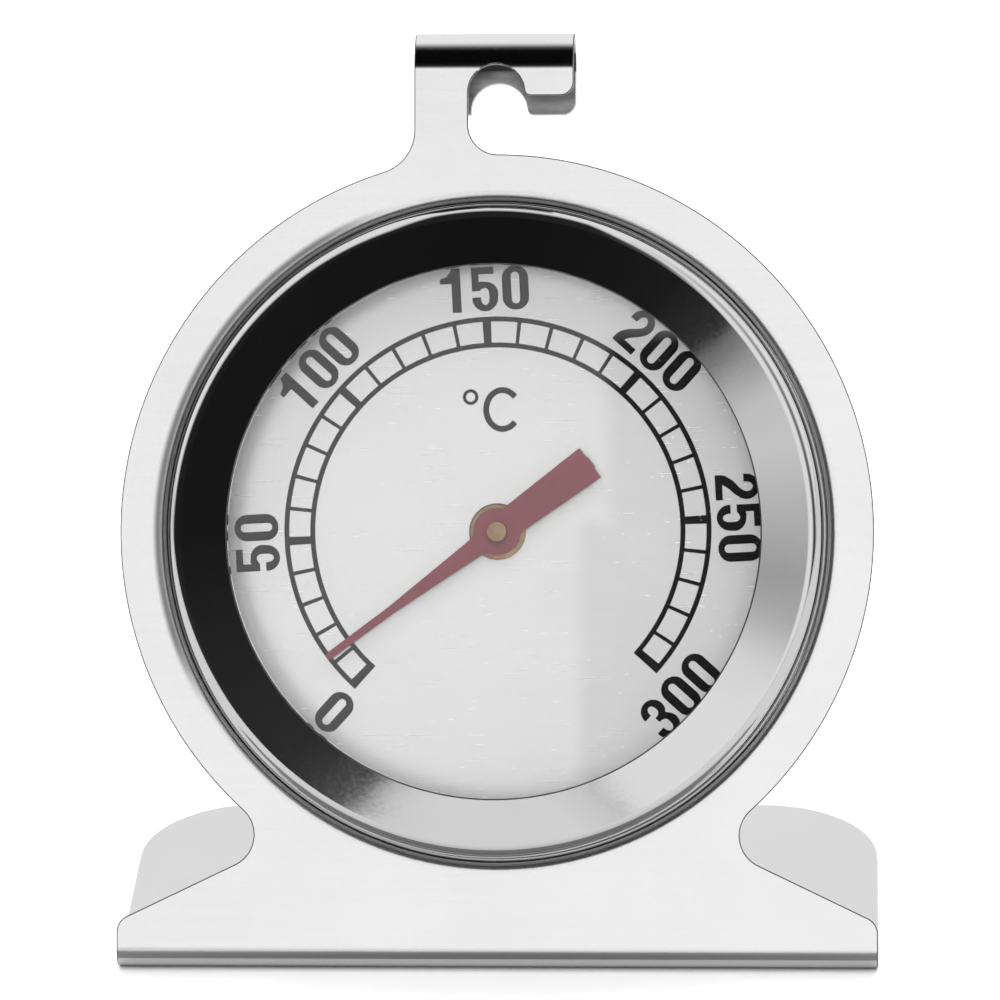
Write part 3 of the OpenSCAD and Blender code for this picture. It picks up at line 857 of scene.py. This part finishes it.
def add_rear_cover():
    """The rear cover: a drawn cup with a rounded rim and a ring of vent holes."""
    out_r, back_w, front_w = node_reach("rear_cover")
    rim = COVER_T / 2
    bend_r = out_r - COVER_CORNER_R
    bend_w = back_w + COVER_CORNER_R
    section = corner(bend_r, bend_w, COVER_CORNER_R, 270, 360, COVER_BEND_STEPS)
    section += corner(out_r - rim, front_w - rim, rim, 0, 180, COVER_RIM_STEPS)
    inner_r = COVER_CORNER_R - COVER_T
    section += corner(bend_r, bend_w, inner_r, 360, 270, COVER_HOLLOW_STEPS, hollow=True)
    build = bmesh.new()
    normals = {}

    def point(u, v, w, lean):
        vert = build.verts.new((u, v, w))
        normals[vert] = head_direction(*lean)
        return vert

    wall = []
    for r, w, nr, nw in section:
        turns = [2 * pi * i / TURN_STEPS for i in range(TURN_STEPS)]
        wall.append([point(r * cos(t), r * sin(t), w, (nr * cos(t), nr * sin(t), nw)) for t in turns])
    for lower, upper in zip(wall, wall[1:]):
        join_rings(build, lower, upper)
    outer_edges = ring_edges(build, wall[0])
    inner_edges = ring_edges(build, wall[-1])
    for k in range(VENT_COUNT):
        middle = Vector((cos(2 * pi * k / VENT_COUNT), sin(2 * pi * k / VENT_COUNT))) * VENT_RING_R
        rings = []
        for inset, depth, a in round_edge(COVER_T / 4, COVER_T):
            ring = []
            for i in range(VENT_STEPS):
                t = 2 * pi * i / VENT_STEPS
                r = VENT_R + inset
                lean = (-cos(t) * sin(a), -sin(t) * sin(a), -cos(a))
                ring.append(point(middle.x + r * cos(t), middle.y + r * sin(t), back_w + depth, lean))
            rings.append(ring)
        for lower, upper in zip(rings, rings[1:]):
            join_rings(build, lower, upper)
        outer_edges += ring_edges(build, rings[0])
        inner_edges += ring_edges(build, rings[-1])
    bmesh.ops.triangle_fill(build, use_beauty=True, edges=outer_edges)
    bmesh.ops.triangle_fill(build, use_beauty=True, edges=inner_edges)
    for vert in build.verts:
        vert.co = head_point(*vert.co)
    bmesh.ops.recalc_face_normals(build, faces=build.faces)
    smooth_piece("rear_cover_cup", build, normals, "rear_cover", "cover_steel")


SHEET_T = 0.6
SHEET_EDGE_R = 0.09
HEAD_R = 30.2
BASE_W = 61
FOLD_R = 1.7
FOOT_DEPTH = 29.5
FOOT_CORNER_R = 9.5
BASE_SIDE_H = 1.97
SHOULDER_SLOPE = 25.6
WAIST_R = 2.64
BASE_CORNER_R = 1.4
COLLAR_ROLL = 0.7
COLLAR_L = 3.6
COLLAR_GAP = 0.02        # between the rear cover and the collar's bore
HOOK_TOP = 40.05
HOOK_LEFT = -6.57
HOOK_RIGHT = 6.21
HOOK_R = 3.0
NOTCH_R = 2.25
NOTCH_H = 35.17
TONGUE_H = 34.9
LEAF_DROP = 1.27
LEAF_END_R = 1.1
LEAF_CORNER_R = 0.5
NECK_LEFT_R = 3.5
NECK_RIGHT_R = 2.4
FOLD_STEPS = 28
ROLL_STEPS = 14          # facets of the collar's roll, outside
ROLL_HOLLOW_STEPS = 8
FINE_STEP = radians(1.5)

# The plate's fold line lies this far below the head's centre, and the hook's this far above
HEAD_RISE = (HEAD.z / MM - FOLD_R * (1 + sin(LEAN))) / cos(LEAN)
HOOK_LINE = HOOK_TOP - HOOK_R
FOLD_TURN = pi / 2 + LEAN
FOLD_LONG = (FOLD_R - SHEET_T / 2) * FOLD_TURN
HOOK_LONG = (HOOK_R - SHEET_T / 2) * pi


def sheet_frame(s):
    """Centre line of the bent sheet at s: a point in (v, w), the way on and the outer side."""
    if s < -HEAD_RISE:
        turn = FOLD_TURN * min(1, (-HEAD_RISE - s) / FOLD_LONG)
        side = Vector((-sin(turn), cos(turn)))
        way = Vector((cos(turn), sin(turn)))
        past = min(0, s + HEAD_RISE + FOLD_LONG)
        return Vector((-HEAD_RISE, -FOLD_R)) + side * FOLD_R + way * past, way, side
    if s > HOOK_LINE:
        turn = pi * min(1, (s - HOOK_LINE) / HOOK_LONG)
        side = Vector((sin(turn), cos(turn)))
        way = Vector((cos(turn), -sin(turn)))
        past = max(0, s - HOOK_LINE - HOOK_LONG)
        return Vector((HOOK_LINE, -HOOK_R)) + side * HOOK_R + way * past, way, side
    return Vector((s, 0)), Vector((1, 0)), Vector((0, 1))


def half_outline():
    """Right half of the flat blank's foot, base, waist and head, from the rear edge to the neck."""
    half = BASE_W / 2
    rear = -HEAD_RISE - FOLD_LONG - (FOOT_DEPTH - FOLD_R)
    slope = radians(SHOULDER_SLOPE)
    slope_n = Vector((sin(slope), cos(slope)))
    slope_m = Vector((cos(slope), -sin(slope)))
    base_top = Vector((half, BASE_SIDE_H - HEAD_RISE))
    waist_n = slope_n.dot(base_top) + WAIST_R
    waist = slope_n * waist_n + slope_m * ((HEAD_R + WAIST_R) ** 2 - waist_n ** 2) ** 0.5
    cut_back = BASE_CORNER_R / tan((pi / 2 + slope) / 2)
    waist_angle = degrees(atan2(waist.y, waist.x))
    points = arc(half - FOOT_CORNER_R, rear + FOOT_CORNER_R, FOOT_CORNER_R, FOOT_CORNER_R, -90, 0)
    corner_y = base_top.y - cut_back
    points += arc(half - BASE_CORNER_R, corner_y, BASE_CORNER_R, BASE_CORNER_R, 0, 90 - SHOULDER_SLOPE)
    points += arc(waist.x, waist.y, WAIST_R, WAIST_R, 270 - SHOULDER_SLOPE, 180 + waist_angle)
    return points, waist_angle


def blank_outline():
    """The whole outline of the flat blank, anticlockwise, as (x, distance along the sheet)."""
    half, waist_angle = half_outline()
    left = Vector((HOOK_LEFT - NECK_LEFT_R, 0))
    left.y = ((HEAD_R + NECK_LEFT_R) ** 2 - left.x ** 2) ** 0.5
    right = Vector((NECK_RIGHT_R - NOTCH_R, 0))
    right.y = ((HEAD_R + NECK_RIGHT_R) ** 2 - right.x ** 2) ** 0.5
    left_angle = degrees(atan2(left.y, left.x))
    right_angle = degrees(atan2(right.y, right.x))
    notch_end = degrees(asin((TONGUE_H + LEAF_CORNER_R - NOTCH_H) / NOTCH_R))
    points = list(half)
    points += arc(0, 0, HEAD_R, HEAD_R, waist_angle, right_angle, FINE_STEP)[1:]
    points += arc(right.x, right.y, NECK_RIGHT_R, NECK_RIGHT_R, right_angle - 180, -180)[1:]
    lower = arc(0, NOTCH_H, NOTCH_R, NOTCH_R, 180, notch_end)
    tongue = (NOTCH_R + LEAF_CORNER_R, TONGUE_H + LEAF_CORNER_R)
    lower += arc(*tongue, LEAF_CORNER_R, LEAF_CORNER_R, 180, 270)[1:]
    lower += arc(HOOK_RIGHT - LEAF_END_R, TONGUE_H + LEAF_END_R, LEAF_END_R, LEAF_END_R, 270, 360)
    points += lower
    mouth = -NOTCH_R
    back = [(x, y - LEAF_DROP) for x, y in reversed(lower)] + [(mouth, TONGUE_H - LEAF_DROP)]
    back += arc(HOOK_LEFT + LEAF_END_R, TONGUE_H - LEAF_DROP + LEAF_END_R, LEAF_END_R, LEAF_END_R, 270, 180)
    points += [(x, 2 * HOOK_LINE + HOOK_LONG - y) for x, y in back]
    points += arc(left.x, left.y, NECK_LEFT_R, NECK_LEFT_R, 0, left_angle - 180)
    points += arc(0, 0, HEAD_R, HEAD_R, left_angle, 180 - waist_angle, FINE_STEP)[1:-1]
    points += [(-x, y) for x, y in reversed(half)]
    return points


def fold_lines():
    """Distances along the sheet at which it is cut across, so that it can bend there."""
    low = [-HEAD_RISE - FOLD_LONG * i / FOLD_STEPS for i in range(FOLD_STEPS + 1)]
    high = [HOOK_LINE + HOOK_LONG * i / FOLD_STEPS for i in range(FOLD_STEPS + 1)]
    return low + high


def split_at(loop, lines):
    """Add the points where an outline crosses the fold lines."""
    out = []
    for i, (x, y) in enumerate(loop):
        out.append((x, y))
        nx, ny = loop[(i + 1) % len(loop)]
        hits = [line for line in lines if min(y, ny) + 1e-4 < line < max(y, ny) - 1e-4]
        for line in sorted(hits, reverse=ny < y):
            out.append((x + (nx - x) * (line - y) / (ny - y), line))
    return out


def collar_section(bore_r):
    """Section of the collar from the plate's front face round to its back face, as (radius, w, normal)."""
    roll_r = bore_r + COLLAR_ROLL
    section = corner(roll_r, -COLLAR_ROLL, COLLAR_ROLL, 90, 180, ROLL_STEPS)
    section += corner(bore_r + SHEET_EDGE_R, SHEET_EDGE_R - COLLAR_L, SHEET_EDGE_R, 180, 270)
    section += corner(bore_r + SHEET_T - SHEET_EDGE_R, SHEET_EDGE_R - COLLAR_L, SHEET_EDGE_R, 270, 360)
    inner_r = COLLAR_ROLL - SHEET_T
    section += corner(roll_r, -COLLAR_ROLL, inner_r, 180, 90, ROLL_HOLLOW_STEPS, hollow=True)
    return section


def add_stand():
    """The stand: one flat blank with rounded edges and a rolled collar, folded at foot and hook."""
    build = bmesh.new()
    leans = {}

    def point(x, s, depth, lean_x, lean_s, lean_out):
        vert = build.verts.new((x, s, depth))
        leans[vert] = (lean_x, lean_s, lean_out)
        return vert

    loop = split_at(blank_outline(), fold_lines())
    sides = outward(loop)
    rings = []
    for inset, depth, a in round_edge(SHEET_EDGE_R, SHEET_T):
        ring = []
        for (x, s), (way, factor) in zip(loop, sides):
            at = (x - way.x * inset * factor, s - way.y * inset * factor)
            ring.append(point(at[0], at[1], depth, way.x * sin(a), way.y * sin(a), cos(a)))
        rings.append(ring)
    for lower, upper in zip(rings, rings[1:]):
        join_rings(build, lower, upper)
    # The front face's rounded edges take the raw-edge finish: a painted shade line along the outline.
    dark_front_edges = {face for face in build.faces if max(v.co.z for v in face.verts) < SHEET_EDGE_R * 1.01}
    bore_r = node_reach("rear_cover")[0] + COLLAR_GAP
    turned = []
    for r, w, nr, nw in collar_section(bore_r):
        ring = []
        for i in range(TURN_STEPS):
            c, s = cos(2 * pi * i / TURN_STEPS), sin(2 * pi * i / TURN_STEPS)
            ring.append(point(r * c, r * s, -w, nr * c, nr * s, nw))
        turned.append(ring)
    for lower, upper in zip(turned, turned[1:]):
        join_rings(build, upper, lower)
    for rim, hole in ((rings[0], turned[0]), (rings[-1], turned[-1])):
        edges = ring_edges(build, rim) + ring_edges(build, hole)
        bmesh.ops.triangle_fill(build, use_beauty=True, edges=edges)
    for line in fold_lines():
        bmesh.ops.bisect_plane(
            build, geom=build.verts[:] + build.edges[:] + build.faces[:], dist=0.0002,
            plane_co=(0, line, 0), plane_no=(0, 1, 0),
        )
    for face in build.faces:
        depths = [vert.co.z for vert in face.verts]
        if min(depths) > SHEET_T - 0.001 and max(depths) < SHEET_T + 0.001:
            face.material_index = 1
        elif face in dark_front_edges:
            face.material_index = 2
    normals = {}
    for vert in build.verts:
        x, s, depth = vert.co
        lean_x, lean_s, lean_out = leans.get(vert, (0, 0, 1 if depth < SHEET_T / 2 else -1))
        place, way, side = sheet_frame(s)
        at = place - side * depth
        turned_lean = way * lean_s + side * lean_out
        vert.co = head_point(x, at.x, at.y)
        normals[vert] = head_direction(lean_x, turned_lean.x, turned_lean.y)
    bmesh.ops.recalc_face_normals(build, faces=build.faces)
    piece = smooth_piece("stand_sheet", build, normals, "stand", "stand_steel")
    # The back face takes the painted shade over the hook, at 0.32 of its tone.
    back = satin_steel("stand_back_finish", (0.79, 0.79, 0.79), 0.34, 0.000003, hook_shade_tone=0.32)
    piece.data.materials.append(back)
    piece.data.materials.append(CUT_EDGE_AND_SHADE)


SOFT_EDGES = {"pointer": 0.05, "spindle": 0.12, "front_bush": 0.12}
SHARP_FROM = radians(50)
WELD_REACH = 0.000002
SOFT_SEGMENTS = 4


def soften_edges():
    """Round the edges of turned and stamped parts that show."""
    for name, width in SOFT_EDGES.items():
        node = frame["nodes"][name]
        weld = node.modifiers.new("weld", "WELD")
        weld.merge_threshold = WELD_REACH
        bevel = node.modifiers.new("edge", "BEVEL")
        bevel.width = width * MM
        bevel.segments = SOFT_SEGMENTS
        bevel.angle_limit = SHARP_FROM
        bevel.harden_normals = True


# ---- Studio ----


FLOOR_CELLS = 24
FLOOR_HALF = 3.0
FLOOR_Z = -0.00005


def add_floor():
    """A wide flat sweep of white paper under the foot."""
    build = bmesh.new()
    bmesh.ops.create_grid(build, x_segments=FLOOR_CELLS, y_segments=FLOOR_CELLS, size=FLOOR_HALF)
    mesh = bpy.data.meshes.new("studio_floor")
    build.to_mesh(mesh)
    build.free()
    floor = bpy.data.objects.new("studio_floor", mesh)
    floor.location = (0, 0, FLOOR_Z)
    bpy.context.scene.collection.objects.link(floor)
    mesh.materials.append(floor_paper("floor_paper"))


def add_world():
    """A white room whose panels and dark gaps lie as they show in the polished bezel."""
    world = bpy.data.worlds.new("studio_world")
    bpy.context.scene.world = world
    world.use_nodes = True
    shader = Shader(world.node_tree)
    look = shader.add("ShaderNodeTexCoord", outputs="Generated")
    du = shader.dot(look, U_AXIS)
    dv = shader.dot(look, V_AXIS)
    dw = shader.dot(look, W_AXIS)
    off_axis = shader.math("MULTIPLY", shader.math("ARCCOSINE", dw), 180 / pi)
    around = shader.math("MULTIPLY", shader.math("ARCTAN2", dv, du), 0.5 / pi)
    around = shader.math("FRACT", shader.math("ADD", around, 1.0))
    near = shader.turn_ramp(around, [
        (0, 0.46), (20, 0.7), (30, 0.62), (36, 0.4), (42, 0.1), (46, 0.03), (60, 0.012), (90, 0.008),
        (180, 0.01), (230, 0.03), (240, 0.06), (244, 0.3), (250, 0.84), (256, 0.93), (315, 0.94),
        (330, 0.86), (340, 0.55), (350, 0.4), (360, 0.46),
    ])
    far = shader.turn_ramp(around, [
        (0, 1.0), (30, 0.95), (48, 0.75), (62, 0.1), (75, 0.02), (180, 0.015), (225, 0.05),
        (240, 0.3), (252, 0.95), (330, 1.0), (360, 1.0),
    ])
    lift = shader.turn_ramp(around, [
        (0, 0.3), (45, 0.3), (55, 0.48), (70, 0.6), (76, 0.84), (104, 0.84), (112, 0.62), (135, 0.72),
        (180, 0.92), (225, 0.7), (245, 0.5), (360, 0.3),
    ])
    band = shader.turn_ramp(around, [
        (0, 1.0), (30, 0.75), (50, 0.4), (70, 0.0), (245, 0.0), (262, 0.4), (300, 0.85),
        (330, 1.0), (360, 1.0),
    ])
    reach = shader.turn_ramp(around, [
        (0, 0.2), (50, 0.2), (70, 0.12), (110, 0.12), (140, 0.16), (300, 0.2), (360, 0.2),
    ])
    past = shader.math("SUBTRACT", off_axis, shader.math("MULTIPLY", reach, 100))
    front = shader.step(past, -4, 1, 1, 0)
    tone = shader.blend(shader.step(off_axis, 26, 38), near, far)
    lift_angle = shader.math("MULTIPLY", lift, 100)
    back = shader.span(shader.math("SUBTRACT", off_axis, lift_angle), -9, 9)
    tone = shader.blend(back, tone, (0.92, 0.92, 0.92, 1))
    gap = shader.math("MULTIPLY", shader.step(off_axis, 56, 70), shader.step(off_axis, 79, 96, 1, 0))
    tone = shader.blend(shader.math("MULTIPLY", gap, band), tone, (0.06, 0.06, 0.06, 1))
    tone = shader.blend(front, tone, (1.06, 1.06, 1.06, 1))
    sharp = shader.add("ShaderNodeLightPath", outputs="Is Singular Ray")
    column = shader.math("MULTIPLY", shader.step(du, -0.039, -0.035), shader.step(dv, 0.027, 0.030, 1, 0))
    body = shader.math("MULTIPLY", shader.step(du, -0.043, -0.039), shader.step(dv, 0.0, 0.003, 1, 0))
    dark = shader.math("MULTIPLY", shader.math("MAXIMUM", column, body), sharp)
    dark = shader.math("MULTIPLY", dark, shader.step(off_axis, 6, 7, 1, 0))
    tone = shader.blend(dark, tone, (0.03, 0.03, 0.03, 1))
    seen = shader.add("ShaderNodeLightPath", outputs="Is Camera Ray")
    tone = shader.blend(seen, tone, (1.05, 1.05, 1.05, 1))
    background = shader.add("ShaderNodeBackground", Color=tone, Strength=1.0)
    output = shader.nodes.new("ShaderNodeOutputWorld")
    shader.links.new(background, output.inputs["Surface"])


# A grey card on the floor ahead of the foot, seen only in reflections: painted shade of the floor there.
SHADE_CARD_SPAN = 0.1          # width of the grey card on the floor
SHADE_CARD_NEAR = 0.0009       # its nearer edge, ahead of the foot's fold
SHADE_CARD_FAR = 0.014


def add_flag():
    """A grey card lying in front of the foot: painted shade, standing for the shaded floor there that the
    foot's fold mirrors. Only reflections see it.
    """
    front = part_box("stand")[0].y
    build = bmesh.new()
    corners = [(-1, SHADE_CARD_NEAR), (1, SHADE_CARD_NEAR), (1, SHADE_CARD_FAR), (-1, SHADE_CARD_FAR)]
    build.faces.new([build.verts.new((side * SHADE_CARD_SPAN / 2, front - ahead, 0)) for side, ahead in corners])
    mesh = bpy.data.meshes.new("floor_shade_card")
    build.to_mesh(mesh)
    build.free()
    flag = bpy.data.objects.new("floor_shade_card", mesh)
    bpy.context.scene.collection.objects.link(flag)
    mesh.materials.append(FINISHES["card"])
    flag.visible_camera = False
    flag.visible_diffuse = False
    flag.visible_shadow = False
    flag.visible_transmission = False


LAMPS = {"front_lamp": (-0.8, 24), "rear_lamp": (0.9, 22)}     # place along Y, and watts
LAMP_HEIGHT = 1.3
LAMP_SIZE = 1.6


def add_lamps():
    """Two large soft lamps overhead, which light matt surfaces and the floor but make no highlights."""
    for name, (ahead, power) in LAMPS.items():
        data = bpy.data.lights.new(name, "AREA")
        data.shape = "DISK"
        data.size = LAMP_SIZE
        data.energy = power
        lamp = bpy.data.objects.new(name, data)
        lamp.location = (0, ahead, LAMP_HEIGHT)
        lamp.rotation_euler = (-atan2(ahead, LAMP_HEIGHT), 0, 0)
        lamp.visible_glossy = False
        lamp.visible_transmission = False
        bpy.context.scene.collection.objects.link(lamp)


def set_view():
    bpy.context.scene.view_settings.view_transform = "Standard"


add_camera()
dress_frame()
add_bezel()
add_rear_cover()
add_stand()
soften_edges()
print_dial()
add_floor()
add_world()
add_flag()
add_lamps()
set_view()
